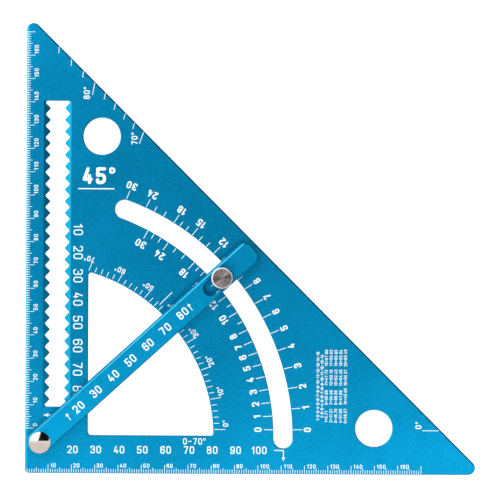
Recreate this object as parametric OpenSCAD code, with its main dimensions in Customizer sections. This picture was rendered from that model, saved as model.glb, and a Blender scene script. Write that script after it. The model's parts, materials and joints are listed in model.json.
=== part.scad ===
// Adjustable set square: a 45 degree anodised plate with a scribing slot, a protractor
// window and an arc slot, and a swinging index arm with a matching fence bar behind it.
// Millimetres. The square lies flat, marked face up, standing on its rear fence bar.

/* [Square plate] */
// Length of each leg, measured to the sharp corners
leg_l = 197.4; // [180:0.1:230]
// Thickness of the plate
plate_t = 4; // [3:0.1:6]
// Radius of the right-angled heel corner
heel_r = 1.6; // [1:0.1:4]
// Radius of the two sharp tips
tip_r = 3; // [1.5:0.1:4]
// Width of the broken edges round the outline and the openings
edge_break = 0.25; // [0.1:0.05:0.5]
// Width of the long bevel on the plumb edge
plumb_bevel_w = 1.1; // [0.6:0.1:2]
// Depth of the long bevel on the plumb edge
plumb_bevel_d = 0.8; // [0.4:0.1:1.5]

/* [Hanging holes] */
// Diameter of the upper hanging hole
upper_hole_d = 16; // [8:0.1:18]
// Metal between the scribing slot and the upper hole
upper_hole_gap = 5.95; // [4:0.05:10]
// Metal between the upper hole and the long edge
upper_hole_wall = 6.3; // [4:0.02:10]
// Diameter of the lower hanging hole
lower_hole_d = 16; // [8:0.1:18]
// Metal between the lower hole and the seat edge, and between it and the long edge
lower_hole_wall = 11.75; // [8:0.05:13]

/* [Scribing slot] */
// Centre line of the scribing slot, from the plumb edge
scribe_x = 13.45; // [12.5:0.05:14]
// Width of the scribing slot from notch to notch
scribe_w = 10.2; // [8:0.1:11]
// Depth of each scribing notch
notch_d = 1.85; // [1:0.05:2.5]
// Distance between scribing notches
notch_pitch = 5; // [4:0.5:10]
// Height of the first notch above the seat edge
notch_start = 29.15; // [26:0.05:40]
// Distance from the last notch to the plumb edge's sharp tip
notch_end = 38.25; // [32:0.05:90]
// Width of the flat at the bottom of each notch
notch_flat = 0.5; // [0.2:0.1:1]
// Width of the flat on the tip of each tooth
tooth_flat = 0.6; // [0.2:0.1:1]
// Straight length of the slot beyond its last notches
scribe_land = 0.7; // [0.6:0.05:1.5]
// Radius of the slot's end corners
scribe_corner_r = 0.8; // [0.4:0.1:1.2]
// Width of the bevel beyond the notches
scribe_bevel_w = 0.8; // [0.3:0.1:1.2]
// Depth of the bevel at the tooth tips
scribe_bevel_d = 1.8; // [1:0.1:2.4]

/* [Protractor window] */
// Left edge of the window, from the plumb edge
window_x = 26.85; // [25:0.05:30]
// Bottom edge of the window, from the seat edge
window_y = 16.3; // [15:0.05:20]
// Centre of the window's arc, from the plumb edge
window_arc_x = 7.36; // [5:0.02:9]
// Centre of the window's arc, from the seat edge
window_arc_y = 15.7; // [13:0.05:17]
// Width of the scale band between the window and the arc slot
scale_band = 27.1; // [20:0.1:40]
// Radius of the window's heel corner
window_heel_r = 1.5; // [0.8:0.1:3]
// Radius of the window's two arc corners
window_tip_r = 1.2; // [0.8:0.1:2]

/* [Arc slot] */
// Centre of the arc slot, from the plumb edge
arc_x = 6.13; // [5:0.01:7]
// Centre of the arc slot, from the seat edge
arc_y = 15.2; // [13.25:0.05:15.7]
// Metal between the arc slot and the long edge
arc_wall = 15.82; // [12:0.02:20]
// Width of the arc slot
arc_w = 8.15; // [7.5:0.05:8.6]
// Angle of the slot's lower end
arc_low = -0.1; // [-0.4:0.05:0]
// Angle of the slot's upper end
arc_high = 69.8; // [69.5:0.1:71]

/* [Arm and fence] */
// Pivot, from the plumb edge
pivot_x = 6.52; // [5.5:0.02:7]
// Pivot, from the seat edge
pivot_y = 13.25; // [12:0.05:14]
// Angle that the arm is set to
arm_angle = 42.3; // [0:0.1:70]
// Largest angle that the arm can be set to
arm_angle_max = 70; // [65:0.5:70]
// Reading edge, from the pivot axis
arm_up = 5.6; // [5:0.05:6.5]
// Lower edge, from the pivot axis
arm_down = 4.7; // [4.7:0.05:5.5]
// Reach of the arm beyond the clamp screw
arm_tip = 18.4; // [12:0.1:20]
// Thickness of the index arm
arm_t = 3; // [2:0.1:4]
// Radius of the arm's two end corners
arm_corner_r = 3.8; // [2:0.1:4.5]
// Width of the shallow facet along the ridge of the reading edge
arm_ridge_w = 0.45; // [0.2:0.05:0.8]
// Depth of the shallow facet along the ridge of the reading edge
arm_ridge_d = 0.18; // [0.1:0.02:0.3]
// Width of the steep flank outside the ridge
arm_flank_w = 0.65; // [0.3:0.05:1]
// Depth of the steep flank outside the ridge
arm_flank_d = 1; // [0.5:0.05:1.3]
// Width of the clamp slot in the arm
arm_slot_w = 6.4; // [5:0.1:7]
// Reach of the clamp slot inward from the clamp screw
arm_slot_in = 9.7; // [5:0.1:14]
// Reach of the clamp slot outward from the clamp screw
arm_slot_out = 4.5; // [4:0.1:8]
// Depth of the fence bar behind the plate
fence_h = 8; // [7:0.1:14]
// Width of the broken edges on the arm and fence
bar_break = 0.3; // [0.1:0.05:0.5]

/* [Pivot] */
// Diameter of the rivet's shank
rivet_d = 4; // [3:0.1:4.5]
// Diameter of the rivet's polished head
rivet_head_d = 9.2; // [8:0.1:10]
// Thickness of the head at its rim
rivet_rim_h = 0.5; // [0.3:0.05:1]
// Rise of the head's dome above its rim
rivet_dome_h = 0.6; // [0.3:0.05:1.5]
// Outer diameter of the pivot bush
bush_d = 6; // [5.5:0.1:6.5]
// Outer diameter of the pivot washers
pivot_washer_d = 9; // [8:0.1:9.2]
// Thickness of the slip washers
slip_t = 0.5; // [0.3:0.05:1]
// Outer diameter of the washer under the rivet's tail
tail_washer_d = 8; // [7.5:0.1:8.4]
// Thickness of the washer under the rivet's tail
tail_washer_t = 0.8; // [0.5:0.05:1.2]
// Diameter of the rolled rim on the rivet's tail
tail_rim_d = 6.4; // [6.3:0.1:7]

/* [Clamp] */
// How far the clamp screw stands inside the arc slot's centre line
clamp_inset = 0.41; // [0:0.01:0.6]
// Diameter of the clamp screw's shank
screw_d = 4; // [3:0.1:4.2]
// Pitch of the clamp screw's thread
screw_pitch = 0.7; // [0.5:0.05:0.8]
// Turns that the clamp screw is loosened by
screw_turns = 2; // [1:0.5:2]
// Diameter of the clamp screw's head
head_d = 9; // [8:0.1:9.2]
// Height of the clamp screw's head
head_h = 4.5; // [3:0.1:7]
// Width of the chamfer round the head's face
head_chamfer = 0.45; // [0.2:0.05:0.8]
// Number of knurling grooves round the head
knurl_count = 36; // [18:1:48]
// Depth of the knurling grooves
knurl_d = 0.25; // [0.1:0.05:0.4]
// Lap of the washer under the head over each side of the arm's slot
head_washer_lap = 1.3; // [0.8:0.05:1.6]
// Thickness of the washer under the head
head_washer_t = 0.8; // [0.5:0.1:1.2]
// Lap of the slip washers over each side of the arc slot
clamp_slip_lap = 0.52; // [0.4:0.02:0.8]
// Width of the square nut across its flats
nut_w = 7; // [6.5:0.1:7.2]
// Thickness of the square nut
nut_t = 2.2; // [1.6:0.1:3]
// Thickness of the fence's shelf that the nut pulls against
shelf_t = 3; // [2:0.1:4]

/* [Clearances] */
// Radial running clearance of shafts in their holes
run_gap = 0.05; // [0.02:0.01:0.08]
// Clearance round sliding and seated pieces
slide_gap = 0.15; // [0.1:0.01:0.3]

/* [Hidden] */
$fn = 96;
plate_blue = [0.02, 0.45, 0.66];
arm_blue = [0.03, 0.55, 0.78];
steel = [0.72, 0.72, 0.74];
mirror_steel = [0.88, 0.88, 0.9];
brass = [0.78, 0.62, 0.28];
nylon = [0.9, 0.9, 0.87];

// Overrun that lets a cut pass through the face that it opens
cut = 0.5;
// Share of its own size by which a bevel cut runs past the edge that it breaks
past_share = 0.5;
// Share of the straight edges' break that a rounded corner gets
corner_share = 0.8;
// Share of a fillet's radius by which the cut for its corner stays inside its ends
kite_share = 0.1;

// Heights of the stack, from the fence's rear face up
plate_z = fence_h + slip_t;
plate_top = plate_z + plate_t;
arm_z = plate_top + slip_t;
arm_top = arm_z + arm_t;
head_z = arm_top + head_washer_t;
// Outline of the plate, which turns through tip_turn at each sharp tip
leg_reach = leg_l - tip_r * sqrt(2);
tip_c = leg_l - tip_r * (1 + sqrt(2));
hyp_step = tip_r / sqrt(2);
tip_turn = 135;
// The scribing notches fill the leg as far as their pitch allows
notch_spaces = round((leg_l - notch_end - notch_start) / notch_pitch);
// The hanging holes keep their metal to the slot and to the edges beside them
upper_hole_x = scribe_x + scribe_w / 2 + upper_hole_gap + upper_hole_d / 2;
upper_hole_y = leg_l - upper_hole_x - (upper_hole_d / 2 + upper_hole_wall) * sqrt(2);
lower_hole_y = lower_hole_wall + lower_hole_d / 2;
lower_hole_x = leg_l - lower_hole_y - lower_hole_y * sqrt(2);
// The arc slot lies inside the long edge, and the window inside the arc slot
arc_r = (leg_l - arc_x - arc_y) / sqrt(2) - arc_w / 2 - arc_wall;
window_arc_r = arc_r - arc_w / 2 - scale_band;
// The arm's outline is centred on its own width, beside the pivot axis
arm_mid = (arm_up - arm_down) / 2;
arm_end_r = (arm_up + arm_down) / 2;
arm_slot_r = arm_slot_w / 2;
// The arc slot's centre as the arm sees it: along the arm and to its upper side
arc_along = (arc_x - pivot_x) * cos(arm_angle) + (arc_y - pivot_y) * sin(arm_angle);
arc_aside = (arc_y - pivot_y) * cos(arm_angle) - (arc_x - pivot_x) * sin(arm_angle);
// The clamp screw stands where the arm crosses the arc slot
clamp_r = arc_along + sqrt(arc_r * arc_r - arc_aside * arc_aside) - clamp_inset;
arm_reach = clamp_r + arm_tip;
// As the arm swings, the eccentric slot moves the clamp along it by arc_aside a radian
clamp_in = arc_aside * arm_angle * PI / 180;
clamp_out = arc_aside * (arm_angle_max - arm_angle) * PI / 180;
// Washers that lap over the slots
head_washer_d = arm_slot_w + 2 * head_washer_lap;
clamp_slip_d = arc_w + 2 * clamp_slip_lap;
// Seat for the rivet's tail, and how far its rolled rim stands off the washer
tail_rim_r = tail_rim_d / 4 - rivet_d / 8;
tail_seat_h = tail_washer_t + 2 * tail_rim_r + 2 * slide_gap;
tail_hole_d = rivet_d * 0.6;
// Height of the screw's tip, which stays through the nut when it is loosened
nut_z = fence_h - shelf_t - nut_t;
screw_tip_z = nut_z - screw_turns * screw_pitch - slide_gap;

module on_base() {
    translate([-leg_reach / 2, -leg_reach / 2, 0]) children();
}

module on_arm() {
    on_base() translate([pivot_x, pivot_y, 0]) rotate([0, 0, arm_angle]) children();
}

module at_clamp() {
    on_arm() translate([clamp_r, 0, 0]) children();
}

// Cuts the same shape, drawn down from z = 0, into both faces of the plate
module both_faces() {
    translate([0, 0, plate_z + plate_t / 2])
        for (side = [0, 1]) mirror([0, 0, side]) translate([0, 0, plate_t / 2]) children();
}

// Runs a section along the edge from p to q of an outline drawn anticlockwise. The section's
// points are a distance inside the edge and a height
module along_edge(p, q) {
    along = q - p;
    translate([p.x, p.y, 0]) rotate([0, 0, atan2(along.y, along.x)])
        rotate([90, 0, 90]) linear_extrude(norm(along)) children();
}

// Wedge along an edge, under z = 0
module edge_wedge(p, q, w, d) {
    along_edge(p, q) polygon([
        [w * (1 + past_share), d * past_share],
        [-w * past_share, d * past_share],
        [-w * past_share, -d * (1 + past_share)]]);
}

// Broken edge round a convex corner of radius r, a little finer than the straight ones
module corner_wedge(c, r, from, turn, straight_w) {
    w = straight_w * corner_share;
    translate([c.x, c.y, 0]) rotate([0, 0, from]) rotate_extrude(angle = turn) polygon([
        [r - w * (1 + past_share), w * past_share],
        [r + w * past_share, -w * (1 + past_share)],
        [r + w * past_share, w * past_share]]);
}

// Flared mouth of a round hole in a face at z = 0
module flare(r, w) {
    translate([0, 0, -w]) cylinder(h = w * (1 + past_share), r1 = r, r2 = r + w * (1 + past_share));
}

module washer(outer_d, inner_r, t) {
    difference() {
        cylinder(h = t, d = outer_d);
        translate([0, 0, -cut]) cylinder(h = t + 2 * cut, r = inner_r);
    }
}

module plate_outline() {
    polygon([[0, heel_r], [heel_r, 0], [tip_c, 0], [tip_c + hyp_step, tip_r + hyp_step],
        [tip_r + hyp_step, tip_c + hyp_step], [0, tip_c]]);
    translate([heel_r, heel_r]) circle(r = heel_r);
    translate([tip_c, tip_r]) circle(r = tip_r);
    translate([tip_r, tip_c]) circle(r = tip_r);
}

module plate_edge_breaks() {
    both_faces() {
        edge_wedge([-cut, 0], [leg_l, 0], edge_break, edge_break);
        edge_wedge([leg_l, 0], [0, leg_l], edge_break, edge_break);
        corner_wedge([heel_r, heel_r], heel_r, 180, 90, edge_break);
        corner_wedge([tip_c, tip_r], tip_r, -90, tip_turn, edge_break);
        corner_wedge([tip_r, tip_c], tip_r, 180 - tip_turn, tip_turn, edge_break);
    }
    translate([0, 0, plate_z]) mirror([0, 0, 1])
        edge_wedge([0, leg_l], [0, -cut], edge_break, edge_break);
    translate([0, 0, plate_top])
        edge_wedge([0, leg_l], [0, -cut], plumb_bevel_w, plumb_bevel_d);
}

module hanging_hole(x, y, d) {
    translate([x, y, plate_z - cut]) cylinder(h = plate_t + 2 * cut, d = d);
    both_faces() translate([x, y, 0]) flare(d / 2, edge_break);
}

// Slot with a row of V notches down each side, for a pencil point
module scribe_outline() {
    half = scribe_w / 2;
    top = notch_start + notch_spaces * notch_pitch + scribe_land;
    bottom = notch_start - scribe_land;
    c = min(scribe_corner_r, scribe_land + notch_flat / 4);
    right = [for (i = [0 : notch_spaces - 1]) each [
        [half, notch_start + i * notch_pitch + notch_flat / 2],
        [half - notch_d, notch_start + (i + 0.5) * notch_pitch - tooth_flat / 2],
        [half - notch_d, notch_start + (i + 0.5) * notch_pitch + tooth_flat / 2],
        [half, notch_start + (i + 1) * notch_pitch - notch_flat / 2]]];
    left = [for (i = [len(right) - 1 : -1 : 0]) [-right[i].x, right[i].y]];
    polygon(concat([[-half + c, bottom], [half - c, bottom], [half, bottom + c]], right,
        [[half, top - c], [half - c, top], [-half + c, top], [-half, top - c]], left,
        [[-half, bottom + c]]));
    for (x = [-half + c, half - c]) for (y = [bottom + c, top - c])
        translate([x, y]) circle(r = c);
}

module scribe_slot() {
    half = scribe_w / 2 + scribe_bevel_w;
    throat = scribe_w / 2 - notch_d;
    rise = scribe_bevel_d * past_share;
    run = (half - throat) * past_share;
    length = notch_spaces * notch_pitch + 2 * scribe_land;
    translate([scribe_x, 0, plate_z - cut]) linear_extrude(plate_t + 2 * cut) scribe_outline();
    translate([scribe_x, notch_start - scribe_land, plate_top])
        rotate([90, 0, 180]) linear_extrude(length)
            polygon([[-throat, -scribe_bevel_d], [throat, -scribe_bevel_d],
                [half + run, rise], [-half - run, rise]]);
}

// The window is a quarter of a disc with a fillet in each corner. For each fillet:
// its centre, its radius, the corner it rounds and the places where it meets the sides
window_heel = [window_x, window_y];
heel_c = window_heel + [window_heel_r, window_heel_r];
top_dx = window_x + window_tip_r - window_arc_x;
top_c = [window_x + window_tip_r,
    window_arc_y + sqrt(pow(window_arc_r - window_tip_r, 2) - pow(top_dx, 2))];
side_dy = window_y + window_tip_r - window_arc_y;
side_c = [window_arc_x + sqrt(pow(window_arc_r - window_tip_r, 2) - pow(side_dy, 2)),
    window_y + window_tip_r];
arc_centre = [window_arc_x, window_arc_y];
function to_arc(c) = (c - arc_centre) / norm(c - arc_centre);
window_fillets = [
    [heel_c, window_heel_r, [-1, 0], [0, -1]],
    [top_c, window_tip_r, [-1, 0], to_arc(top_c)],
    [side_c, window_tip_r, [0, -1], to_arc(side_c)]];

// Corner of the window outside a fillet. It is a little narrower than the angle between
// the fillet's two radii, so that its sides cross the fillet and don't just touch it
module fillet_kite(f) {
    reach = 3 * f[1];
    a = reach * (f[2] + kite_share * f[3]);
    b = reach * (f[3] + kite_share * f[2]);
    polygon([f[0], f[0] + a, f[0] + 2 * (a + b), f[0] + b]);
}

module window_outline() {
    difference() {
        intersection() {
            translate(arc_centre) circle(r = window_arc_r, $fn = 240);
            translate(window_heel) square(window_arc_r);
        }
        for (f = window_fillets) fillet_kite(f);
    }
    for (f = window_fillets) translate(f[0]) circle(r = f[1]);
}

// The window's broken edge, flaring out towards a face at z = 0
module window_flare() {
    w = edge_break * (1 + past_share);
    r = window_arc_r;
    difference() {
        intersection() {
            translate([window_arc_x, window_arc_y, -edge_break])
                cylinder(h = w, r1 = r, r2 = r + w, $fn = 240);
            translate([window_x, window_y + r, -edge_break]) rotate([90, 0, 0])
                linear_extrude(2 * r) polygon([[0, 0], [r, 0], [r, w], [-w, w]]);
            translate([window_x - r, window_y, -edge_break]) rotate([90, 0, 90])
                linear_extrude(2 * r) polygon([[0, 0], [r, 0], [r, w], [-w, w]]);
        }
        for (f = window_fillets) translate([0, 0, -edge_break - w])
            linear_extrude(3 * w) fillet_kite(f);
    }
    for (f = window_fillets) translate([f[0].x, f[0].y, 0]) flare(f[1], edge_break);
}

module arc_slot() {
    inner = arc_r - arc_w / 2;
    outer = arc_r + arc_w / 2;
    w = edge_break * (1 + past_share);
    translate([arc_x, arc_y, 0]) {
        translate([0, 0, plate_z - cut]) rotate([0, 0, arc_low])
            rotate_extrude(angle = arc_high - arc_low, $fn = 360)
                translate([inner, 0]) square([arc_w, plate_t + 2 * cut]);
        for (a = [arc_low, arc_high]) rotate([0, 0, a]) translate([arc_r, 0, plate_z - cut])
            cylinder(h = plate_t + 2 * cut, d = arc_w);
        both_faces() {
            rotate([0, 0, arc_low]) rotate_extrude(angle = arc_high - arc_low, $fn = 360)
                polygon([[inner, -edge_break], [outer, -edge_break],
                    [outer + w, w - edge_break], [inner - w, w - edge_break]]);
            for (a = [arc_low, arc_high]) rotate([0, 0, a]) translate([arc_r, 0, 0])
                flare(arc_w / 2, edge_break);
        }
    }
}

module square_plate() {
    color(plate_blue) on_base() difference() {
        translate([0, 0, plate_z]) linear_extrude(plate_t) plate_outline();
        plate_edge_breaks();
        hanging_hole(upper_hole_x, upper_hole_y, upper_hole_d);
        hanging_hole(lower_hole_x, lower_hole_y, lower_hole_d);
        hanging_hole(pivot_x, pivot_y, bush_d + 2 * run_gap);
        scribe_slot();
        translate([0, 0, plate_z - cut]) linear_extrude(plate_t + 2 * cut) window_outline();
        both_faces() window_flare();
        arc_slot();
    }
}

// Outline of the index arm and of the fence bar, along +X from the pivot
module bar_outline() {
    c = arm_corner_r;
    polygon([[0, -arm_down], [arm_reach - c, -arm_down], [arm_reach, c - arm_down],
        [arm_reach, arm_up - c], [arm_reach - c, arm_up], [0, arm_up]]);
    translate([0, arm_mid]) circle(r = arm_end_r);
    for (y = [c - arm_down, arm_up - c]) translate([arm_reach - c, y]) circle(r = c);
}

// Broken edge round the bar, under z = 0; the reading edge is left to its own bevel
module bar_edge_break(w, reading_edge) {
    c = arm_corner_r;
    past_end = arm_end_r + cut;
    edge_wedge([-past_end, -arm_down], [arm_reach, -arm_down], w, w);
    edge_wedge([arm_reach, -arm_down], [arm_reach, arm_up], w, w);
    if (reading_edge) edge_wedge([arm_reach, arm_up], [-past_end, arm_up], w, w);
    corner_wedge([arm_reach - c, c - arm_down], c, -90, 90, w);
    corner_wedge([arm_reach - c, arm_up - c], c, 0, 90, w);
    corner_wedge([0, arm_mid], arm_end_r, 90, 180, w);
}

// Round-ended slot along the bar, from one end to the other, through height h
module long_slot(from, to, w, h) {
    linear_extrude(h) {
        translate([from + w / 2, -w / 2]) square([to - from - w, w]);
        for (x = [from + w / 2, to - w / 2]) translate([x, 0]) circle(d = w);
    }
}

// Bevel of the reading edge, under z = 0: a shallow facet on its ridge, then a steep flank
module reading_bevel() {
    rise = arm_ridge_d * past_share;
    past_edge = -arm_flank_w * past_share;
    along_edge([arm_reach + cut, arm_up], [-arm_end_r - cut, arm_up]) polygon([
        [arm_flank_w + arm_ridge_w * (1 + past_share), rise],
        [past_edge, rise],
        [past_edge, -arm_ridge_d - arm_flank_d * (1 + past_share)],
        [arm_flank_w, -arm_ridge_d]]);
}

module index_arm() {
    color(arm_blue) on_arm() difference() {
        translate([0, 0, arm_z]) linear_extrude(arm_t) bar_outline();
        translate([0, 0, arm_top]) {
            bar_edge_break(bar_break, false);
            reading_bevel();
        }
        translate([0, 0, arm_z - cut]) {
            cylinder(h = arm_t + 2 * cut, d = rivet_d + 2 * run_gap);
            long_slot(clamp_r - arm_slot_in, clamp_r + arm_slot_out, arm_slot_w, arm_t + 2 * cut);
        }
        translate([0, 0, arm_top]) slot_flare();
    }
}

// Broken edge round the arm's clamp slot, flaring towards a face at z = 0
module slot_flare() {
    w = bar_break * (1 + past_share);
    from = clamp_r - arm_slot_in + arm_slot_r;
    to = clamp_r + arm_slot_out - arm_slot_r;
    translate([from, 0, -bar_break]) rotate([90, 0, 90]) linear_extrude(to - from)
        polygon([[-arm_slot_r, 0], [arm_slot_r, 0], [arm_slot_r + w, w], [-arm_slot_r - w, w]]);
    for (x = [from, to]) translate([x, 0, 0]) flare(arm_slot_r, bar_break);
}

module rear_fence() {
    shank_w = screw_d + 4 * slide_gap;
    pocket_w = nut_w + 2 * slide_gap;
    pocket_in = clamp_r - clamp_in - nut_w / 2 - 2 * slide_gap;
    pocket_out = clamp_r + clamp_out + nut_w / 2 + 2 * slide_gap;
    color(arm_blue) on_arm() difference() {
        linear_extrude(fence_h) bar_outline();
        mirror([0, 0, 1]) bar_edge_break(bar_break, true);
        translate([0, 0, fence_h]) bar_edge_break(bar_break / 2, true);
        translate([0, 0, -cut]) {
            cylinder(h = fence_h + 2 * cut, d = rivet_d + 2 * run_gap);
            cylinder(h = tail_seat_h + cut, d = tail_washer_d + 2 * slide_gap);
            long_slot(clamp_r - clamp_in - shank_w / 2, clamp_r + clamp_out + shank_w / 2,
                shank_w, fence_h + 2 * cut);
            translate([pocket_in, -pocket_w / 2, 0])
                cube([pocket_out - pocket_in, pocket_w, fence_h - shelf_t + cut]);
        }
    }
}

// Polished low-domed head above the arm, tail rolled over its washer inside the fence
module pivot_rivet() {
    head_r = rivet_head_d / 2;
    dome_r = (head_r * head_r + rivet_dome_h * rivet_dome_h) / (2 * rivet_dome_h);
    tail_z = tail_seat_h - tail_washer_t - tail_rim_r;
    color(mirror_steel) on_arm() difference() {
        union() {
            translate([0, 0, arm_top]) cylinder(h = rivet_rim_h, r = head_r);
            intersection() {
                translate([0, 0, arm_top + rivet_rim_h + rivet_dome_h - dome_r]) sphere(r = dome_r);
                translate([0, 0, arm_top + rivet_rim_h / 2]) cylinder(h = 2 * rivet_dome_h, r = head_r);
            }
            translate([0, 0, tail_z]) cylinder(h = arm_top - tail_z + rivet_rim_h / 2, d = rivet_d);
            translate([0, 0, tail_z]) rotate_extrude()
                translate([tail_rim_d / 2 - tail_rim_r, 0]) circle(r = tail_rim_r, $fn = 32);
            translate([0, 0, tail_z]) cylinder(h = tail_rim_r, r = tail_rim_d / 2 - tail_rim_r);
        }
        translate([0, 0, tail_z - 2 * tail_rim_r]) cylinder(h = fence_h / 2, d = tail_hole_d);
    }
}

module rivet_washer() {
    color(steel) on_arm() translate([0, 0, tail_seat_h - tail_washer_t])
        washer(tail_washer_d, rivet_d / 2 + run_gap, tail_washer_t);
}

module pivot_bush() {
    color(brass) on_arm() translate([0, 0, fence_h])
        washer(bush_d, rivet_d / 2 + run_gap, plate_t + 2 * slip_t);
}

module pivot_washer(z) {
    color(nylon) on_arm() translate([0, 0, z])
        washer(pivot_washer_d, bush_d / 2 + slide_gap, slip_t);
}

module front_pivot_washer() {
    pivot_washer(plate_top);
}

module rear_pivot_washer() {
    pivot_washer(fence_h);
}

// Straight-knurled head with a turned face, and a plain shank with a pointed-off end
module thumb_screw() {
    head_r = head_d / 2;
    rim = head_r - head_chamfer;
    shank_r = screw_d / 2;
    point = screw_pitch;
    color(steel) at_clamp() {
        difference() {
            translate([0, 0, head_z]) rotate_extrude() polygon([[0, 0],
                [rim, 0], [head_r, head_chamfer], [head_r, head_h - head_chamfer],
                [rim, head_h], [0, head_h]]);
            for (i = [0 : knurl_count - 1]) rotate([0, 0, i * 360 / knurl_count])
                translate([head_r, 0, head_z + 1.5 * head_chamfer])
                    linear_extrude(head_h - 3 * head_chamfer)
                        polygon([[-knurl_d, 0], [knurl_d, -2 * knurl_d], [knurl_d, 2 * knurl_d]]);
        }
        translate([0, 0, screw_tip_z + point])
            cylinder(h = head_z + head_h / 2 - screw_tip_z - point, r = shank_r);
        translate([0, 0, screw_tip_z]) cylinder(h = point, r1 = shank_r - point / 2, r2 = shank_r);
    }
}

module screw_washer() {
    color(steel) at_clamp() translate([0, 0, arm_top])
        washer(head_washer_d, screw_d / 2 + slide_gap, head_washer_t);
}

module clamp_slip_washer(z) {
    color(nylon) at_clamp() translate([0, 0, z])
        washer(clamp_slip_d, screw_d / 2 + slide_gap, slip_t);
}

module front_slip_washer() {
    clamp_slip_washer(plate_top);
}

module rear_slip_washer() {
    clamp_slip_washer(fence_h);
}

module square_nut() {
    color(steel) at_clamp() translate([0, 0, nut_z]) difference() {
        translate([-nut_w / 2, -nut_w / 2, 0]) cube([nut_w, nut_w, nut_t]);
        translate([0, 0, -cut]) cylinder(h = nut_t + 2 * cut, r = screw_d / 2 + run_gap);
    }
}

square_plate();
index_arm();
rear_fence();
pivot_rivet();
rivet_washer();
pivot_bush();
front_pivot_washer();
rear_pivot_washer();
thumb_screw();
screw_washer();
front_slip_washer();
rear_slip_washer();
square_nut();
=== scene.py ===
# Adjustable set square: finishes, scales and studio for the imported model.
# Lengths are written in millimetres and turned into metres by MM.
import json
import math

import bmesh
import bpy
from mathutils import Matrix, Vector
from mathutils.geometry import delaunay_2d_cdt

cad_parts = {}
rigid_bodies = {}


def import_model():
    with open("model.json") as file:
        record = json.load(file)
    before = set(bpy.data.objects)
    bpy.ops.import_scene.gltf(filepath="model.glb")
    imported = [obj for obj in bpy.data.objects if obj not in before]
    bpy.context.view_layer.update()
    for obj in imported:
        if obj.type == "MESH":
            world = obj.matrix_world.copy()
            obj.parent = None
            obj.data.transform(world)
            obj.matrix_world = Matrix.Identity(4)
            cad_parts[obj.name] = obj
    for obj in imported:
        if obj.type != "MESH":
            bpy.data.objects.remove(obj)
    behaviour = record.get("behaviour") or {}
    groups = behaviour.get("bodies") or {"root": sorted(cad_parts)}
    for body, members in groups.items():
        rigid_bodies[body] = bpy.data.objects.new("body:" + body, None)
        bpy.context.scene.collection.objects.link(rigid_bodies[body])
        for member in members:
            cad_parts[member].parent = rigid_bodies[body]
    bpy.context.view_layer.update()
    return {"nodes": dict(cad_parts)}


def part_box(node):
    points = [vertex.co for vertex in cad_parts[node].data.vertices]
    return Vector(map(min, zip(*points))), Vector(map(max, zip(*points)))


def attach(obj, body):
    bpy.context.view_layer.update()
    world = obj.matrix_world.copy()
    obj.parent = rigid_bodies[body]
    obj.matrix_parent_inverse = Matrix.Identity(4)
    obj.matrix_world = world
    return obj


MM = 0.001

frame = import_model()
nodes = frame["nodes"]

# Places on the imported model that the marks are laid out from
plate_low, plate_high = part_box("square_plate")
arm_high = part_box("index_arm")[1]
rivet_low, rivet_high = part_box("pivot_rivet")
screw_low, screw_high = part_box("thumb_screw")
pivot_spot = (rivet_low + rivet_high) / 2
screw_spot = (screw_low + screw_high) / 2
arm_line = screw_spot - pivot_spot
ARM_TURN = math.atan2(arm_line.y, arm_line.x)
PIVOT = (pivot_spot - plate_low).xy / MM
LEG = (plate_high - plate_low).x / MM

# Sizes of the plate that the marks keep to
TIP_R = 3
LEG_SHARP = LEG + TIP_R * math.sqrt(2)
WINDOW_CENTRE = Vector((7.36, 15.7))
WINDOW_R = 73.43
SLOT_CENTRE = Vector((6.13, 15.2))
SLOT_R = 104.6
SLOT_W = 8.15
SLOT_GAP = 0.3
EDGE_BREAK = 0.25
BEVEL_W = 1.1
BEVEL_D = 0.8

# The marks stand this far above the face, and their undersides this far inside it
FILM_T = 0.012
FILM_SINK = 0.01
TICK_W = 0.3

# A figure's stroke and its step to the next one, in heights of the figure
STROKE = 0.17
STEP = 0.78

# A quarter turn in degrees, for figures that read upwards or lie across a ray
QUARTER = 90


# Marks


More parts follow.
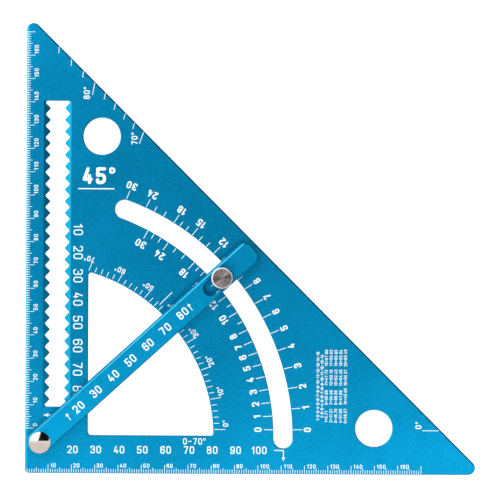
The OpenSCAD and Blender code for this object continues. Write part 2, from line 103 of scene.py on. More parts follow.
class Marks:
    """Etched marks on one face, gathered into one mesh of thin closed prisms."""

    def __init__(self, name, body, spot, turn=0.0):
        self.name = name
        self.body = body
        self.place = Matrix.Translation(spot) @ Matrix.Rotation(turn, 4, "Z") @ Matrix.Scale(MM, 4)
        self.mesh = bmesh.new()

    def ribbon(self, stations, width):
        """A bar through stations (x, y, z), where z is the face's own height there."""
        first = Vector(stations[0][:2])
        last = Vector(stations[-1][:2])
        along = (last - first).normalized()
        side = Vector((-along.y, along.x)) * width / 2
        rings = []
        for x, y, z in stations:
            ring = []
            for hand, lift in ((-1, FILM_T), (1, FILM_T), (1, -FILM_SINK), (-1, -FILM_SINK)):
                ring.append(self.mesh.verts.new((x + hand * side.x, y + hand * side.y, z + lift)))
            rings.append(ring)
        for near, far in zip(rings, rings[1:]):
            for i in range(4):
                j = (i + 1) % 4
                self.mesh.faces.new((near[i], near[j], far[j], far[i]))
        self.mesh.faces.new(rings[0][::-1])
        self.mesh.faces.new(rings[-1])

    def bar(self, start, end, width=TICK_W):
        """A straight mark between two points."""
        self.ribbon([(start.x, start.y, 0), (end.x, end.y, 0)], width)

    def shape(self, outline):
        """A flat mark with an anticlockwise outline of points."""
        self.slab([(p.x, p.y) for p in outline], [len(outline)], [list(range(len(outline)))])

    def number(self, text, centre, height, turn=0.0, stroke=STROKE, step=STEP):
        """A number of that height in mm, centred on a point and turned by degrees."""
        advances = [step * NARROW.get(char, 1.0) for char in text]
        move = (Matrix.Translation((centre[0], centre[1], 0)) @ Matrix.Rotation(math.radians(turn), 4, "Z")
                @ Matrix.Scale(height, 4))
        start = -(sum(advances) - (step - FIGURE_W)) / 2
        for char, advance in zip(text, advances):
            shape = figure(char, stroke * THIN.get(char, 1.0))
            spots = [move @ Vector((p.x + start, p.y - 0.5, 0)) for p in shape["points"]]
            self.slab([(p.x, p.y) for p in spots], shape["loops"], shape["faces"])
            start += advance

    def slab(self, outline, loops, faces):
        """A flat mark with holes: its points, how many lie in each loop, and its filled faces."""
        top = [self.mesh.verts.new((x, y, FILM_T)) for x, y in outline]
        low = [self.mesh.verts.new((x, y, -FILM_SINK)) for x, y in outline]
        for face in faces:
            self.mesh.faces.new([top[i] for i in face])
            self.mesh.faces.new([low[i] for i in reversed(face)])
        first = 0
        for count in loops:
            for k in range(count):
                i = first + k
                j = first + (k + 1) % count
                self.mesh.faces.new((low[i], low[j], top[j], top[i]))
            first += count

    def arrow(self, tail, head, shaft_w, head_w, head_l):
        """A solid arrow from tail to head."""
        along = (head - tail).normalized()
        side = Vector((-along.y, along.x))
        neck = head - along * head_l
        outline = [head, neck + side * head_w / 2, neck + side * shaft_w / 2, tail + side * shaft_w / 2,
                   tail - side * shaft_w / 2, neck - side * shaft_w / 2, neck - side * head_w / 2]
        self.shape(outline)

    def make(self, material):
        """The piece itself, riding on its body."""
        bmesh.ops.recalc_face_normals(self.mesh, faces=self.mesh.faces)
        data = bpy.data.meshes.new(self.name)
        self.mesh.to_mesh(data)
        self.mesh.free()
        data.transform(self.place)
        data.materials.append(material)
        piece = bpy.data.objects.new(self.name, data)
        bpy.context.scene.collection.objects.link(piece)
        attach(piece, self.body)
        return piece


# Figures drawn with one even stroke, as an engraver's stencil draws them, in a box one high and
# FIGURE_W wide. Each is a list of strokes, and a point is its shares across and up the box and
# the radius of its corner
FIGURE_W = 0.6
MID = 0.53
TURN_R = 0.2
SMALL_R = 0.12
FIGURES = {
    "0": [[(0, 0.5, 0), (0, 0, TURN_R), (1, 0, TURN_R), (1, 1, TURN_R), (0, 1, TURN_R), (0, 0.5, 0)]],
    "1": [[(0.15, 0.76, 0), (0.62, 1, 0), (0.62, 0, 0)]],
    "2": [[(0, 0.78, 0), (0, 1, TURN_R), (1, 1, TURN_R), (1, 0.56, TURN_R), (0, 0, 0), (1, 0, 0)]],
    "3": [[(0, 0.8, 0), (0, 1, TURN_R), (1, 1, TURN_R), (1, MID, TURN_R), (0.4, MID, 0)],
          [(0.4, MID, 0), (1, MID, TURN_R), (1, 0, TURN_R), (0, 0, TURN_R), (0, 0.2, 0)]],
    "4": [[(0.55, 1, 0), (0, 0.24, 0), (1, 0.24, 0)], [(0.76, 0.5, 0), (0.76, 0, 0)]],
    "5": [[(1, 1, 0), (0.05, 1, 0), (0, MID, 0), (1, 0.6, TURN_R), (1, 0, TURN_R), (0, 0, TURN_R),
           (0, 0.2, 0)]],
    "6": [[(0, 0.4, 0), (0, MID + 0.06, TURN_R), (1, MID + 0.06, TURN_R), (1, 0, TURN_R), (0, 0, TURN_R),
           (0, 1, TURN_R), (1, 1, TURN_R), (1, 0.8, 0)]],
    "7": [[(0, 1, 0), (1, 1, 0), (0.35, 0, 0)]],
    "8": [[(0, 0.3, 0), (0, 0, TURN_R), (1, 0, TURN_R), (1, MID, TURN_R), (0, MID, TURN_R), (0, 0.3, 0)],
          [(0.04, 0.8, 0), (0.04, 1, TURN_R), (0.96, 1, TURN_R), (0.96, MID, TURN_R), (0.04, MID, TURN_R),
           (0.04, 0.8, 0)]],
    "9": [[(1, 0.6, 0), (1, 0.41, TURN_R), (0, 0.41, TURN_R), (0, 1, TURN_R), (1, 1, TURN_R),
           (1, 0, TURN_R), (0, 0, TURN_R), (0, 0.2, 0)]],
    "°": [[(0, 0.85, 0), (0, 0.7, SMALL_R), (0.5, 0.7, SMALL_R), (0.5, 1, SMALL_R), (0, 1, SMALL_R),
           (0, 0.85, 0)]],
    "=": [[(0, 0.34, 0), (1, 0.34, 0)], [(0, 0.66, 0), (1, 0.66, 0)]],
    "-": [[(0.1, 0.5, 0), (0.9, 0.5, 0)]],
    ".": [[(0.3, 0, 0), (0.34, 0, 0)]],
}
NARROW = {"1": 0.82, ".": 0.5, "°": 0.6}
THIN = {"°": 0.62}
figure_shapes = {}


def rounded(points, steps=4):
    """A polyline with its corners turned into arcs; each point is x, y and a radius."""
    path = []
    for i, (x, y, radius) in enumerate(points):
        here = Vector((x, y))
        if radius == 0:
            path.append(here)
            continue
        back = Vector(points[i - 1][:2]) - here
        ahead = Vector(points[i + 1][:2]) - here
        half = back.angle(ahead) / 2
        reach = min(radius / math.tan(half), 0.5 * back.length, 0.5 * ahead.length)
        radius = reach * math.tan(half)
        start = here + back.normalized() * reach
        bend = (back.normalized() + ahead.normalized()).normalized()
        centre = here + bend * (radius / math.sin(half))
        sweep = math.pi - 2 * half
        side = 1 if back.x * ahead.y - back.y * ahead.x < 0 else -1
        for k in range(steps + 1):
            path.append(centre + Matrix.Rotation(side * sweep * k / steps, 2) @ (start - centre))
    return path


def figure(char, stroke):
    """Points and faces of one figure, with strokes of that width, in heights of the figure."""
    key = (char, stroke)
    if key in figure_shapes:
        return figure_shapes[key]
    points = []
    polygons = []
    half = stroke / 2
    wide = FIGURE_W - stroke
    tall = 1 - stroke
    round_sides = 8
    shortest = 1e-5
    weld = 1e-4
    for line in FIGURES[char]:
        path = rounded([(half + x * wide, half + y * tall, r) for x, y, r in line])
        for near, far in zip(path, path[1:]):
            if (far - near).length < shortest:
                continue
            along = (far - near).normalized()
            side = Vector((-along.y, along.x)) * half
            polygons.append([near - side, far - side, far + side, near + side])
        for spot in path:
            polygons.append([spot + Vector((math.cos(t), math.sin(t))) * half
                             for t in [2 * math.pi * (k + 0.5) / round_sides for k in range(round_sides)]])
    faces = []
    for polygon in polygons:
        faces.append(list(range(len(points), len(points) + len(polygon))))
        points += polygon
    merged = delaunay_2d_cdt(points, [], faces, 1, weld)
    inside = []
    for face in merged[2]:
        spot = middle([merged[0][i] for i in face])
        if any(holds(polygon, spot) for polygon in polygons):
            inside.append(face)
    figure_shapes[key] = outline_faces(merged[0], inside)
    return figure_shapes[key]


def outline_faces(points, triangles):
    """The same area with only the points that its outline needs, as loops and filled faces."""
    edges = {}
    for face in triangles:
        for a, b in zip(face, face[1:] + face[:1]):
            if (b, a) in edges:
                del edges[(b, a)]
            else:
                edges[(a, b)] = True
    follow = {}
    for a, b in edges:
        follow.setdefault(a, []).append(b)
    loops = []
    while follow:
        first = next(iter(follow))
        loop = [first]
        while True:
            ahead = follow[loop[-1]].pop()
            if not follow[loop[-1]]:
                del follow[loop[-1]]
            if ahead == first:
                break
            loop.append(ahead)
        loops.append([points[i] for i in loop])
    slim = [thin_out(loop) for loop in loops]
    flat = [p for loop in slim for p in loop]
    rings = []
    for loop in slim:
        first = sum(len(ring) for ring in rings)
        rings.append(list(range(first, first + len(loop))))
    # A triangle is filled when an odd number of rings hold it, so that holes stay open
    weld = 1e-7
    filled = delaunay_2d_cdt(flat, [], rings, 1, weld)
    back = [sources[0] for sources in filled[3]]
    faces = []
    for face in filled[2]:
        spot = middle([filled[0][i] for i in face])
        if sum(holds(loop, spot) for loop in slim) % 2:
            faces.append([back[i] for i in face])
    return {"points": flat, "loops": [len(loop) for loop in slim], "faces": faces}


def middle(points):
    """The mean of the points."""
    return sum(points, Vector((0, 0))) / len(points)


def holds(loop, spot):
    """Whether a closed loop of points goes round the spot."""
    inside = False
    for p, q in zip(loop, loop[1:] + loop[:1]):
        if (p.y > spot.y) != (q.y > spot.y):
            crossing = p.x + (spot.y - p.y) * (q.x - p.x) / (q.y - p.y)
            inside ^= crossing > spot.x
    return inside


def thin_out(loop, tolerance=0.006):
    """Drops points that lie on the line between their neighbours."""
    kept = list(loop)
    i = 0
    while i < len(kept) and len(kept) > 4:
        before, here, after = kept[i - 1], kept[i], kept[(i + 1) % len(kept)]
        chord = after - before
        off = abs(chord.x * (here.y - before.y) - chord.y * (here.x - before.x)) / max(chord.length, 1e-9)
        if off < tolerance:
            kept.pop(i)
        else:
            i += 1
    return kept


def ray(angle):
    """The unit vector at that many degrees."""
    return Vector((math.cos(math.radians(angle)), math.sin(math.radians(angle))))


def on_ray(angle, offset, centre, radius, origin=PIVOT):
    """Where the line at that angle and offset from an origin crosses a circle."""
    along = ray(angle)
    start = origin + Vector((-along.y, along.x)) * offset
    to_centre = centre - start
    foot = to_centre.dot(along)
    miss = to_centre.length_squared - foot * foot
    return start + along * (foot + math.sqrt(radius * radius - miss))


def bevel_z(x):
    """Height of the plumb edge's bevel at a distance from the edge."""
    return -BEVEL_D * max(0.0, 1 - x / BEVEL_W)


RULE_LAST = 170
RULE_FIGURES = {"height": 1.85, "stroke": 0.16, "step": 0.82}


def tick_length(n, tens, fives, ones):
    """Length of mark n of a rule, longer at each five and ten."""
    if n % 10 == 0:
        return tens
    return fives if n % 5 == 0 else ones


def seat_rule(marks):
    """Millimetre rule along the seat edge, with its numbers."""
    tick_w = 0.24
    figure_y = 3.35
    gap = 0.7
    half_figure = 0.72
    for n in range(1, RULE_LAST + 1):
        length = tick_length(n, tens=3.7, fives=2.45, ones=1.8)
        marks.bar(Vector((n, EDGE_BREAK)), Vector((n, length)), tick_w)
    for n in range(10, RULE_LAST, 10):
        text = str(n)
        marks.number(text, (n + gap + half_figure * len(text), figure_y), **RULE_FIGURES)


def plumb_rule(marks):
    """Millimetre rule along the plumb edge, over its bevel, with numbers that read upwards."""
    zero = 19.28
    edge = 0.03
    tick_w = 0.22
    figure_x = 4.35
    gap = 0.9
    half_figure = 0.5
    for n in range(0, RULE_LAST + 1):
        y = zero + n
        length = tick_length(n, tens=3.75, fives=2.65, ones=1.85)
        marks.ribbon([(edge, y, bevel_z(edge)), (BEVEL_W, y, 0), (length, y, 0)], tick_w)
    for n in range(0, RULE_LAST, 10):
        text = str(n)
        marks.number(text, (figure_x, zero + n + gap + half_figure * len(text)), turn=QUARTER,
                     **RULE_FIGURES)


def degree_scale(marks):
    """Degrees outside the protractor window, read at the arm's bevelled edge."""
    reading = 5.8
    gap = 0.55
    tens = 4.65
    twos = 2.25
    tick_w = 0.26
    for a in range(0, 71, 2):
        start = on_ray(a, reading, WINDOW_CENTRE, WINDOW_R + gap)
        marks.bar(start, start + ray(a) * (tens if a % 10 == 0 else twos), tick_w)
    label_r = 78.9
    lead = 4.25
    creep = 0.014
    figure_h = 2.4
    for a in range(0, 71, 10):
        at = a + lead + creep * a
        marks.number(f"{a}°", WINDOW_CENTRE + ray(at) * label_r, figure_h, at + QUARTER)
    index = 45
    index_from = 78.2
    index_to = 85.7
    marks.bar(on_ray(index, reading, PIVOT, index_from), on_ray(index, reading, PIVOT, index_to))


def pitch_scale(marks, run, offset, tick_r, label_r, outward, labelled, plain, shift, uneven):
    """Pitch marks n in so many of run, beside the arc slot, from an origin near the pivot.

    The marks are cut a little unevenly; uneven holds the degrees that single marks are off by.
    """
    long_tick = 3.8
    short_tick = 2.2
    figure_h = 3.2
    figure_stroke = 0.19
    origin = PIVOT + Vector(shift)
    for n in labelled + plain:
        a = math.degrees(math.atan2(n, run)) + uneven.get(n, 0)
        length = long_tick if n in labelled else short_tick
        start = on_ray(a, offset, SLOT_CENTRE, tick_r, origin)
        marks.bar(start, start + ray(a) * (length * outward))
        if n in labelled:
            centre = on_ray(a, offset, SLOT_CENTRE, label_r, origin)
            marks.number(str(n), centre, figure_h, a + QUARTER, stroke=figure_stroke)


def outer_pitch(marks):
    """Pitch in 12, on the long edge's side of the arc slot."""
    pitch_scale(marks, run=12, offset=5.5, tick_r=SLOT_R + SLOT_W / 2 + SLOT_GAP, label_r=115.1, outward=1,
                labelled=[0, 1, 2, 3, 4, 5, 6, 7, 8, 12, 15, 18, 24, 30],
                plain=[9, 10, 11, 13, 14, 16, 17, 20, 22], shift=(0.9, 0.35), uneven={8: 0.6})


def inner_pitch(marks):
    """Pitch in 16.8, on the heel's side of the arc slot."""
    pitch_scale(marks, run=16.8, offset=5.3, tick_r=SLOT_R - SLOT_W / 2 - SLOT_GAP, label_r=93.9, outward=-1,
                labelled=[0, 1, 2, 3, 4, 5, 6, 7, 8, 10, 12, 15, 18, 24, 30],
                plain=[9, 11, 13, 14, 16, 17, 20, 22, 26, 28], shift=(1.3, 0.5), uneven={8: 0.3})


def long_edge_scale(marks):
    """Degrees from 70 to 86 along the long edge, and the zero mark at its lower end."""
    offset = 4.4
    inset = 0.35
    tens = 5.3
    twos = 2.7
    sharp_leg = LEG_SHARP - inset * math.sqrt(2)
    for a in range(70, 87, 2):
        along = ray(a)
        start = PIVOT + Vector((-along.y, along.x)) * offset
        reach = (sharp_leg - start.x - start.y) / (along.x + along.y)
        end = start + along * reach
        marks.bar(end, end - along * (tens if a % 10 == 0 else twos))
    figure_h = 2.7
    figures = {"80°": (25.88, 163.06), "70°": (46.43, 143.59), "0°": (168.8, 21.08)}
    for text, centre in figures.items():
        marks.number(text, centre, figure_h, turn=QUARTER)
    zero_y = 18.92
    zero_from = 170.5
    zero_to = 177.6
    marks.bar(Vector((zero_from, zero_y)), Vector((zero_to, zero_y)))


def ratio_table(marks):
    """Slopes of 1 to 20 in 10 and their angles, in small figures that read upwards, under two headings."""
    figure_h = 1.3
    columns = 5
    first_x = 129.2
    column_step = 2.05
    row_starts = (22.1, 29.95, 37.95, 46.45)
    half_figure = 0.435
    row_step = 0.76
    for c in range(columns):
        for r, start_y in enumerate(row_starts):
            n = 1 + c + columns * r
            text = f"{n}={math.degrees(math.atan2(n, 10)):.2f}"
            centre = (first_x + c * column_step, start_y + half_figure * len(text))
            marks.number(text, centre, figure_h, turn=QUARTER, step=row_step)
    heading_y = 37.8
    heading_stroke = 0.19
    heading_step = 0.68
    # Each heading's place across the table and its last number
    headings = ((125.6, 15), (127.4, 14))
    for x, last in headings:
        text = "-".join(str(n) for n in range(1, last + 1))
        marks.number(text, (x, heading_y), figure_h, QUARTER, heading_stroke, heading_step)


def plate_guides(marks):
    """Rows of tens along both legs, the window's range, the square's angle and two arrows."""
    seat_y = 10.2
    seat_shift = 0.4
    for n in range(20, 101, 10):
        marks.number(str(n), (n + seat_shift, seat_y), height=3.3, stroke=0.15)
    plumb_x = 22.5
    plumb_top = 114.7
    for n in range(10, 81, 10):
        marks.number(str(n), (plumb_x, plumb_top - n), height=4.1, turn=-QUARTER, stroke=0.12)
    marks.number("0-70°", centre=(72.6, 13.9), height=2.8, stroke=0.15)
    marks.number("45°", centre=(31.0, 127.7), height=7.3, stroke=0.195)
    marks.bar(start=Vector((22.4, 122.1)), end=Vector((37.9, 122.1)), width=0.5)
    marks.arrow(tail=Vector((11.2, 24.92)), head=Vector((7.7, 24.92)), shaft_w=0.45, head_w=1.7, head_l=2.4)
    stem_w = 0.4
    foot = Vector((107.0, 10.16))
    elbow = Vector((110.95, 10.16))
    tip = Vector((110.95, 5.6))
    marks.bar(foot, elbow + Vector((stem_w / 2, 0)), stem_w)
    marks.arrow(elbow - Vector((0, stem_w / 2)), tip, shaft_w=stem_w, head_w=1.5, head_l=1.6)


def arm_guides(marks):
    """Distances from the pivot along the arm, between two arrows to its reading edge."""
    lean = 0.15
    reach = 1.8
    arrow_spots = (16.5, 86.7)
    for along in arrow_spots:
        marks.arrow(Vector((along - lean, -reach)), Vector((along + lean, reach)),
                    shaft_w=0.36, head_w=1.6, head_l=1.3)
    figure_x = 2.5
    figure_y = 0.1
    for n in range(20, 81, 10):
        marks.number(str(n), (n + figure_x, figure_y), height=3.6, stroke=0.16)


# Materials

# Tones of the dyed plate and arm: the skin's two ends, machined walls, facets that lean a little,
# painted shade on walls that lean to the right, and a painted shaded line by the long edge
PLATE_TONES = {
    "deep": (0.001, 0.11, 0.22, 1),
    "bright": (0.002, 0.19, 0.37, 1),
    "machined": (0.008, 0.35, 0.53, 1),
    "shallow": (0.008, 0.35, 0.53, 1),
    "painted_shade": (0.003, 0.17, 0.31, 1),
    "rim": (0.0005, 0.04, 0.09, 1),
}
ARM_TONES = {
    "deep": (0.001, 0.14, 0.28, 1),
    "bright": (0.002, 0.23, 0.44, 1),
    "machined": (0.01, 0.25, 0.38, 1),
    "shallow": (0.02, 0.20, 0.29, 1),
}
# Width and softness in mm of the painted shaded line by the long edge
PAINTED_SHADE_BAND = 0.6
PAINTED_SHADE_SOFT = 0.15

# Between these values of the normal a face changes from one tone to the next
SKIN_LEVEL = (0.985, 0.995)
SHALLOW_LEVEL = (0.84, 0.88)
# Walls whose normal leans this far to the right take the painted shade
RIGHT_LEAN = (0.3, 0.5)
FACE_LEVEL = (0.95, 0.99)
SIDE_LEVEL = (0.05, 0.15)

# The part of a noise's range that is spread over a mottle
WIDE_NOISE = (0.3, 0.7)
MID_NOISE = (0.35, 0.65)

# The skin's fine grain, its slow drift and its beads: the cells' sizes, and how far they swing
GRAIN_CELLS = 0.7
GRAIN_SWING = 0.38
CLOUD_CELLS = 26.0
CLOUD_SHARE = (0.35, 0.65)
BEAD_CELLS = 0.3

# Roughness of the skin and of the machined walls, and how far the grain swings it
SKIN_ROUGH = 0.46
CUT_ROUGH = 0.48
ROUGH_SWING = 0.02

# The screw's face: its tones, the chamfer's painted highlight, the painted dark reflection across it and the
# lathe's rings
SCREW_LOW = (0.25, 0.215, 0.22, 1)
SCREW_HIGH = (0.49, 0.45, 0.445, 1)
# The chamfer's painted highlight: near-white and matt
SCREW_PAINTED_HIGHLIGHT = (0.95, 0.96, 0.97, 1)
SCREW_CELLS = 0.6
SCREW_PAINTED_REFLECTION = (0.10, 0.07, 0.085, 1)
PAINTED_REFLECTION_TURN = math.radians(14)
PAINTED_REFLECTION_SPREAD = (0.88, 0.99)
PAINTED_REFLECTION_SHARE = 0.7
RING_PITCH = 0.11


def node(tree, kind, inputs=None, **settings):
    """A shader node with its settings, and its inputs set or linked."""
    made = tree.nodes.new(kind)
    for name, value in settings.items():
        setattr(made, name, value)
    for name, value in (inputs or {}).items():
        if isinstance(value, bpy.types.NodeSocket):
            tree.links.new(value, made.inputs[name])
        else:
            made.inputs[name].default_value = value
    return made


def calc(tree, operation, first, second=0.0, **settings):
    """One sum on two numbers or sockets."""
    return node(tree, "ShaderNodeMath", {0: first, 1: second}, operation=operation, **settings).outputs[0]


def on_vector(tree, operation, first, second=(0, 0, 0)):
    """One sum on two vectors, with the node's outputs."""
    return node(tree, "ShaderNodeVectorMath", {0: first, 1: second}, operation=operation).outputs


def surface(name, **constants):
    """A material and its tree, shader and object coordinates."""
    material = bpy.data.materials.new(name)
    material.use_nodes = True
    tree = material.node_tree
    shader = tree.nodes["Principled BSDF"]
    for socket, value in constants.items():
        shader.inputs[socket.replace("_", " ")].default_value = value
    coords = tree.nodes.new("ShaderNodeTexCoord").outputs["Object"]
    return material, tree, shader, coords


def facing(tree):
    """The face's normal in parts."""
    normal = node(tree, "ShaderNodeNewGeometry").outputs["True Normal"]
    return node(tree, "ShaderNodeSeparateXYZ", {"Vector": normal}).outputs


def noise(tree, coords, size, detail=2.0):
    """Noise whose cells are about that many millimetres across."""
    made = node(tree, "ShaderNodeTexNoise", {"Vector": coords, "Scale": 1 / (size * MM), "Detail": detail})
    return made.outputs["Fac"]


def spread(tree, value, low, high, to_low=0.0, to_high=1.0):
    """A value between low and high, spread over another range and held at its ends."""
    made = node(tree, "ShaderNodeMapRange", {
        "Value": value, "From Min": low, "From Max": high, "To Min": to_low, "To Max": to_high})
    return made.outputs["Result"]


def blend_colour(tree, share, first, second):
    """The first colour where the share is 0 and the second where it is 1."""
    made = node(tree, "ShaderNodeMix", data_type="RGBA")
    colours = [socket for socket in made.inputs if socket.type == "RGBA"]
    for socket, value in zip(colours, (first, second)):
        if isinstance(value, bpy.types.NodeSocket):
            tree.links.new(value, socket)
        else:
            socket.default_value = value
    tree.links.new(share, made.inputs[0])
    return [socket for socket in made.outputs if socket.type == "RGBA"][0]


def bump(tree, shader, height, depth, strength=1.0):
    """Relief of that depth in millimetres."""
    made = node(tree, "ShaderNodeBump", {"Height": height, "Strength": strength, "Distance": depth * MM})
    tree.links.new(made.outputs["Normal"], shader.inputs["Normal"])


def anodised(name, deep, bright, machined, shallow, painted_shade=None, rim=None):
    """Bead-blasted and dyed aluminium, with its own tones on machined walls and shallow facets.

    Walls that lean to the right get a painted shade, and a narrow band by the long edge a painted shaded
    line.
    """
    material, tree, shader, coords = surface(name, Metallic=1.0)
    grain = noise(tree, coords, GRAIN_CELLS, detail=3.0)
    cloud = noise(tree, coords, CLOUD_CELLS)
    beads = noise(tree, coords, BEAD_CELLS)
    normal = facing(tree)
    level = calc(tree, "ABSOLUTE", normal["Z"])
    flat = spread(tree, level, *SKIN_LEVEL)
    cut = blend_colour(tree, spread(tree, level, *SHALLOW_LEVEL), machined, shallow)
    mottle = calc(tree, "ADD", spread(tree, grain, *WIDE_NOISE, -GRAIN_SWING, GRAIN_SWING),
                  spread(tree, cloud, *WIDE_NOISE, *CLOUD_SHARE), use_clamp=True)
    skin = blend_colour(tree, mottle, deep, bright)
    # Painted shade: walls that lean to the right take a darker tone
    if painted_shade:
        cut = blend_colour(tree, spread(tree, normal["X"], *RIGHT_LEAN), cut, painted_shade)
    # Painted shade: a dark line along the long edge
    if rim:
        outward = on_vector(tree, "DOT_PRODUCT", coords, (1, 1, 0))["Value"]
        band = plate_low.x + plate_low.y + (LEG_SHARP - PAINTED_SHADE_BAND * math.sqrt(2)) * MM
        painted_shade_share = spread(tree, outward, band - PAINTED_SHADE_SOFT * MM, band + PAINTED_SHADE_SOFT * MM)
        skin = blend_colour(tree, painted_shade_share, skin, rim)
    tree.links.new(blend_colour(tree, flat, cut, skin), shader.inputs["Base Color"])
    rough = calc(tree, "ADD", spread(tree, flat, 0.0, 1.0, CUT_ROUGH, SKIN_ROUGH),
                 spread(tree, grain, *WIDE_NOISE, -ROUGH_SWING, ROUGH_SWING))
    tree.links.new(rough, shader.inputs["Roughness"])
    bump(tree, shader, calc(tree, "MULTIPLY", beads, flat), depth=0.02, strength=0.5)
    return material


def mottled(name, size, low, high, rough=None, detail=2.0, relief=None, **constants):
    """A material whose colour and roughness drift between two ends, with a relief of its own.

    The relief is the cells' size and the depth in millimetres, and the strength.
    """
    material, tree, shader, coords = surface(name, **constants)
    mottle = spread(tree, noise(tree, coords, size, detail), *MID_NOISE)
    tree.links.new(blend_colour(tree, mottle, low, high), shader.inputs["Base Color"])
    if rough:
        tree.links.new(spread(tree, mottle, 0.0, 1.0, *rough), shader.inputs["Roughness"])
    if relief:
        cells, depth, strength = relief
        bump(tree, shader, noise(tree, coords, cells), depth, strength)
    return material


def turned_steel(name, spot):
    """Steel with the fine rings that a lathe leaves on the face, centred on a point.

    A dark streak painted across the face stands in for a reflection, and the chamfer round it is painted
    near-white and matt as a painted highlight.
    """
    material, tree, shader, coords = surface(name, Roughness=0.3, Anisotropic=0.85)
    upward = facing(tree)["Z"]
    face = spread(tree, upward, *FACE_LEVEL)
    side = spread(tree, upward, *SIDE_LEVEL, 1.0, 0.0)
    metal = calc(tree, "MAXIMUM", face, side)
    tree.links.new(metal, shader.inputs["Metallic"])
    offset = on_vector(tree, "SUBTRACT", coords, (spot.x, spot.y, 0))[0]
    flat = on_vector(tree, "MULTIPLY", offset, (1, 1, 0))[0]
    radius = on_vector(tree, "LENGTH", flat)["Value"]
    round_it = on_vector(tree, "CROSS_PRODUCT", (0, 0, 1), flat)[0]
    tree.links.new(round_it, shader.inputs["Tangent"])
    rings = calc(tree, "MULTIPLY", radius, 2 * math.pi / (RING_PITCH * MM))
    wave = calc(tree, "SINE", rings)
    tone = spread(tree, noise(tree, coords, SCREW_CELLS), *MID_NOISE)
    steel = blend_colour(tree, tone, SCREW_LOW, SCREW_HIGH)
    # Painted reflection: a dark bow-tie streak across the turned face
    streak = (math.cos(PAINTED_REFLECTION_TURN), math.sin(PAINTED_REFLECTION_TURN), 0)
    outward = on_vector(tree, "NORMALIZE", flat)[0]
    aligned = calc(tree, "ABSOLUTE", on_vector(tree, "DOT_PRODUCT", outward, streak)["Value"])
    dark = spread(tree, aligned, *PAINTED_REFLECTION_SPREAD, 0.0, PAINTED_REFLECTION_SHARE)
    steel = blend_colour(tree, dark, steel, SCREW_PAINTED_REFLECTION)
    # Painted highlight: the chamfer between face and side takes the near-white matt colour
    tree.links.new(blend_colour(tree, metal, SCREW_PAINTED_HIGHLIGHT, steel), shader.inputs["Base Color"])
    bump(tree, shader, wave, depth=0.003, strength=0.6)
    return material


def dress(material, *names):
    """Gives the material to the nodes of those names."""
    for name in names:
        slots = nodes[name].data.materials
        slots.clear()
        slots.append(material)


dress(anodised("plate_blue", **PLATE_TONES), "square_plate")
dress(anodised("arm_blue", **ARM_TONES), "index_arm", "rear_fence")
polished_steel = mottled("polished_steel", size=1.8, low=(0.86, 0.85, 0.84, 1), high=(0.93, 0.92, 0.91, 1),
                         rough=(0.04, 0.09), Metallic=1.0)
dress(polished_steel, "pivot_rivet")
dress(turned_steel("turned_steel", screw_spot), "thumb_screw")
steel = mottled("steel", size=0.9, low=(0.50, 0.50, 0.51, 1), high=(0.66, 0.66, 0.67, 1), rough=(0.26, 0.38),
                detail=3.0, relief=(0.3, 0.006, 0.4), Metallic=1.0)
dress(steel, "rivet_washer", "screw_washer", "square_nut")
brass = mottled("brass", size=0.8, low=(0.60, 0.42, 0.16, 1), high=(0.76, 0.57, 0.24, 1), rough=(0.22, 0.36),
                Metallic=1.0)
dress(brass, "pivot_bush")
nylon = mottled("nylon", size=0.7, low=(0.76, 0.75, 0.70, 1), high=(0.86, 0.85, 0.80, 1), rough=(0.45, 0.6),
                Metallic=0.0, Subsurface_Weight=0.2)
dress(nylon, "front_pivot_washer", "rear_pivot_washer", "front_slip_washer", "rear_slip_washer")

mark_white = mottled("etched_white", size=0.5, low=(0.78, 0.93, 0.98, 1), high=(0.92, 0.99, 1.0, 1),
                     relief=(0.12, 0.004, 0.5), Metallic=0.0, Roughness=0.55)
plate_face = Vector((plate_low.x, plate_low.y, plate_high.z))
arm_face = Vector((pivot_spot.x, pivot_spot.y, arm_high.z))
for mark_name, layout in (("seat_rule_marks", seat_rule), ("plumb_rule_marks", plumb_rule),
                          ("degree_marks", degree_scale), ("long_edge_marks", long_edge_scale),
                          ("ratio_table_marks", ratio_table), ("plate_guide_marks", plate_guides),
                          ("outer_pitch_marks", outer_pitch), ("inner_pitch_marks", inner_pitch)):
    group = Marks(mark_name, "square", plate_face)
    layout(group)
    group.make(mark_white)
arm_marks = Marks("arm_marks", "arm", arm_face, ARM_TURN)
arm_guides(arm_marks)
arm_marks.make(mark_white)


# Studio

WORLD_WHITE = (1.10, 1.12, 1.14, 1)
WORLD_CREAM = (0.72, 0.64, 0.59, 1)
WORLD_LEFT = (1.20, 1.28, 1.36, 1)
WORLD_RIGHT = (0.11, 0.13, 0.16, 1)
WORLD_FLOOR = (0.95, 0.97, 1.0, 1)
WORLD_DARK = (0.004, 0.004, 0.004, 1)


def area_light(name, spot, aim, size, power, colour=(1, 1, 1), only=None):
    """A soft box at a spot in metres, turned towards a point, that the camera doesn't see.

    Where a collection is given, the box lights that collection alone.
    """
    data = bpy.data.lights.new(name, "AREA")
    data.shape = "RECTANGLE"
    data.size, data.size_y = size
    data.energy = power
    data.color = colour
    light = bpy.data.objects.new(name, data)
    light.location = spot
    light.rotation_euler = (Vector(aim) - Vector(spot)).to_track_quat("-Z", "Y").to_euler()
    light.visible_camera = False
    if only:
        light.light_linking.receiver_collection = only
    bpy.context.scene.collection.objects.link(light)


def gather(name, pieces):
    """A collection that a light can be kept to."""
    group = bpy.data.collections.new(name)
    for piece in pieces:
        group.objects.link(piece)
    return group


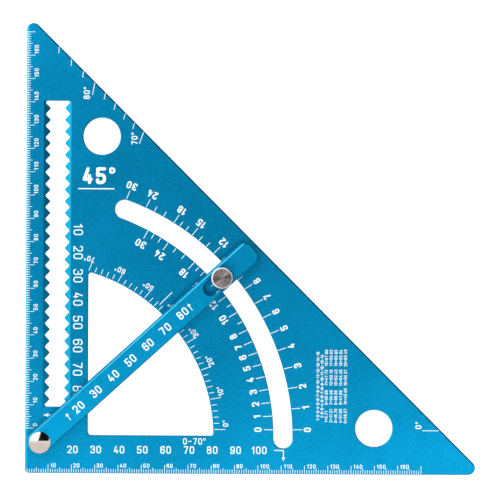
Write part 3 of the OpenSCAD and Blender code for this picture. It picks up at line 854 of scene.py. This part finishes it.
def white_floor(half):
    """A white floor that glows just enough to stay white in the render."""
    white = (0.85, 0.85, 0.85, 1)
    matt = 0.9
    glow = 0.9
    data = bpy.data.meshes.new("floor")
    data.from_pydata([(-half, -half, 0), (half, -half, 0), (half, half, 0), (-half, half, 0)], [],
                     [(0, 1, 2, 3)])
    floor = bpy.data.objects.new("floor", data)
    bpy.context.scene.collection.objects.link(floor)
    material = bpy.data.materials.new("floor_white")
    material.use_nodes = True
    shader = material.node_tree.nodes["Principled BSDF"]
    shader.inputs["Base Color"].default_value = white
    shader.inputs["Roughness"].default_value = matt
    shader.inputs["Emission Color"].default_value = (1, 1, 1, 1)
    shader.inputs["Emission Strength"].default_value = glow
    data.materials.append(material)
    floor.visible_glossy = False


def step_up(tree, value, low, high):
    """0 below low, 1 above high, and a smooth rise between."""
    made = node(tree, "ShaderNodeMapRange", {"Value": value, "From Min": low, "From Max": high},
                interpolation_type="SMOOTHSTEP")
    return made.outputs["Result"]


def step_down(tree, value, low, high):
    """1 below low, 0 above high, and a smooth fall between."""
    return calc(tree, "SUBTRACT", 1.0, step_up(tree, value, low, high))


def studio_world():
    """A white box round the object: a white left and top, a cream front, a dark right and one opening.

    The opening is laid out on a ceiling one unit up, with u to the right and v to the rear.
    """
    opening_lean = 0.238
    opening_left = (-0.125, -0.11)
    opening_right = (0.40, 0.42)
    opening_front = (0.025, 0.045)
    opening_rear = (0.8, 1.1)
    cream_to_white = (-0.08, 0.12)
    right_to_left = (-0.2, 0.8)
    wall_to_ceiling = (0.55, 0.8)
    wall_to_floor = (0.95, 0.99)
    lowest_rise = 0.02
    world = bpy.data.worlds.new("studio")
    bpy.context.scene.world = world
    world.use_nodes = True
    tree = world.node_tree
    direction = node(tree, "ShaderNodeTexCoord").outputs["Generated"]
    parts = node(tree, "ShaderNodeSeparateXYZ", {"Vector": direction}).outputs
    rise = calc(tree, "MAXIMUM", parts["Z"], lowest_rise)
    u = calc(tree, "DIVIDE", parts["X"], rise)
    v = calc(tree, "DIVIDE", parts["Y"], rise)
    left_edge = calc(tree, "SUBTRACT", u, calc(tree, "MULTIPLY", v, opening_lean))
    opening = calc(tree, "MULTIPLY", step_up(tree, left_edge, *opening_left),
                   step_down(tree, u, *opening_right))
    opening = calc(tree, "MULTIPLY", opening, step_up(tree, v, *opening_front))
    opening = calc(tree, "MULTIPLY", opening, step_down(tree, v, *opening_rear))
    ceiling = blend_colour(tree, step_up(tree, v, *cream_to_white), WORLD_CREAM, WORLD_WHITE)
    leftward = calc(tree, "MULTIPLY", parts["X"], -1.0)
    walls = blend_colour(tree, step_up(tree, leftward, *right_to_left), WORLD_RIGHT, WORLD_LEFT)
    room = blend_colour(tree, step_up(tree, parts["Z"], *wall_to_ceiling), walls, ceiling)
    down = calc(tree, "MULTIPLY", parts["Z"], -1.0)
    room = blend_colour(tree, step_up(tree, down, *wall_to_floor), room, WORLD_FLOOR)
    back = tree.nodes["Background"]
    back.inputs["Strength"].default_value = 1.0
    tree.links.new(blend_colour(tree, opening, room, WORLD_DARK), back.inputs["Color"])


def photo_camera():
    """Straight down on the plate, framed as the photograph is."""
    frame_w = 214.5
    lens = 300
    sensor = 36
    aim = Vector((-0.373, -0.459)) * MM
    tilt = 0.0047
    data = bpy.data.cameras.new("camera")
    data.lens = lens
    data.sensor_width = sensor
    data.clip_start = 0.1
    data.clip_end = 20
    camera = bpy.data.objects.new("camera", data)
    camera.location = (aim.x, aim.y, plate_high.z + frame_w * MM * lens / sensor)
    camera.rotation_euler = (0, 0, tilt)
    bpy.context.scene.collection.objects.link(camera)
    bpy.context.scene.camera = camera


photo_camera()
white_floor(half=4.0)
studio_world()
blue_parts = gather("blue_parts", [nodes[name] for name in ("square_plate", "index_arm", "rear_fence")])
white_marks = gather("white_marks", [piece for piece in bpy.context.scene.collection.objects
                                     if piece.name.endswith("_marks")])

# The soft boxes, in metres and watts
FRONT_SPOT = (0.07, -0.22, 0.30)
FRONT_SIZE = (0.50, 0.10)
COOL = (0.93, 0.97, 1.0)
FRESH = (0.95, 1.0, 1.0)
MILD = (0.97, 0.99, 0.95)
area_light("mark_fill", FRONT_SPOT, aim=(0.03, -0.05, 0.012), size=FRONT_SIZE, power=0.5, colour=FRESH,
           only=white_marks)
area_light("key", spot=(-0.42, 0.30, 0.36), aim=(0, 0, 0), size=(0.22, 0.22), power=1.9, colour=COOL)
area_light("front", FRONT_SPOT, aim=(0.03, -0.10, 0.012), size=FRONT_SIZE, power=1.65, colour=MILD,
           only=blue_parts)
area_light("heel", spot=(-0.17, -0.14, 0.28), aim=(-0.09, -0.07, 0.012), size=(0.12, 0.12), power=0.2,
           colour=MILD, only=blue_parts)
area_light("sky", spot=(-0.16, 0.27, 0.36), aim=(-0.07, 0.08, 0.012), size=(0.16, 0.16), power=0.92,
           colour=FRESH, only=blue_parts)

bpy.context.scene.view_settings.view_transform = "Standard"
bpy.context.scene.view_settings.look = "None"
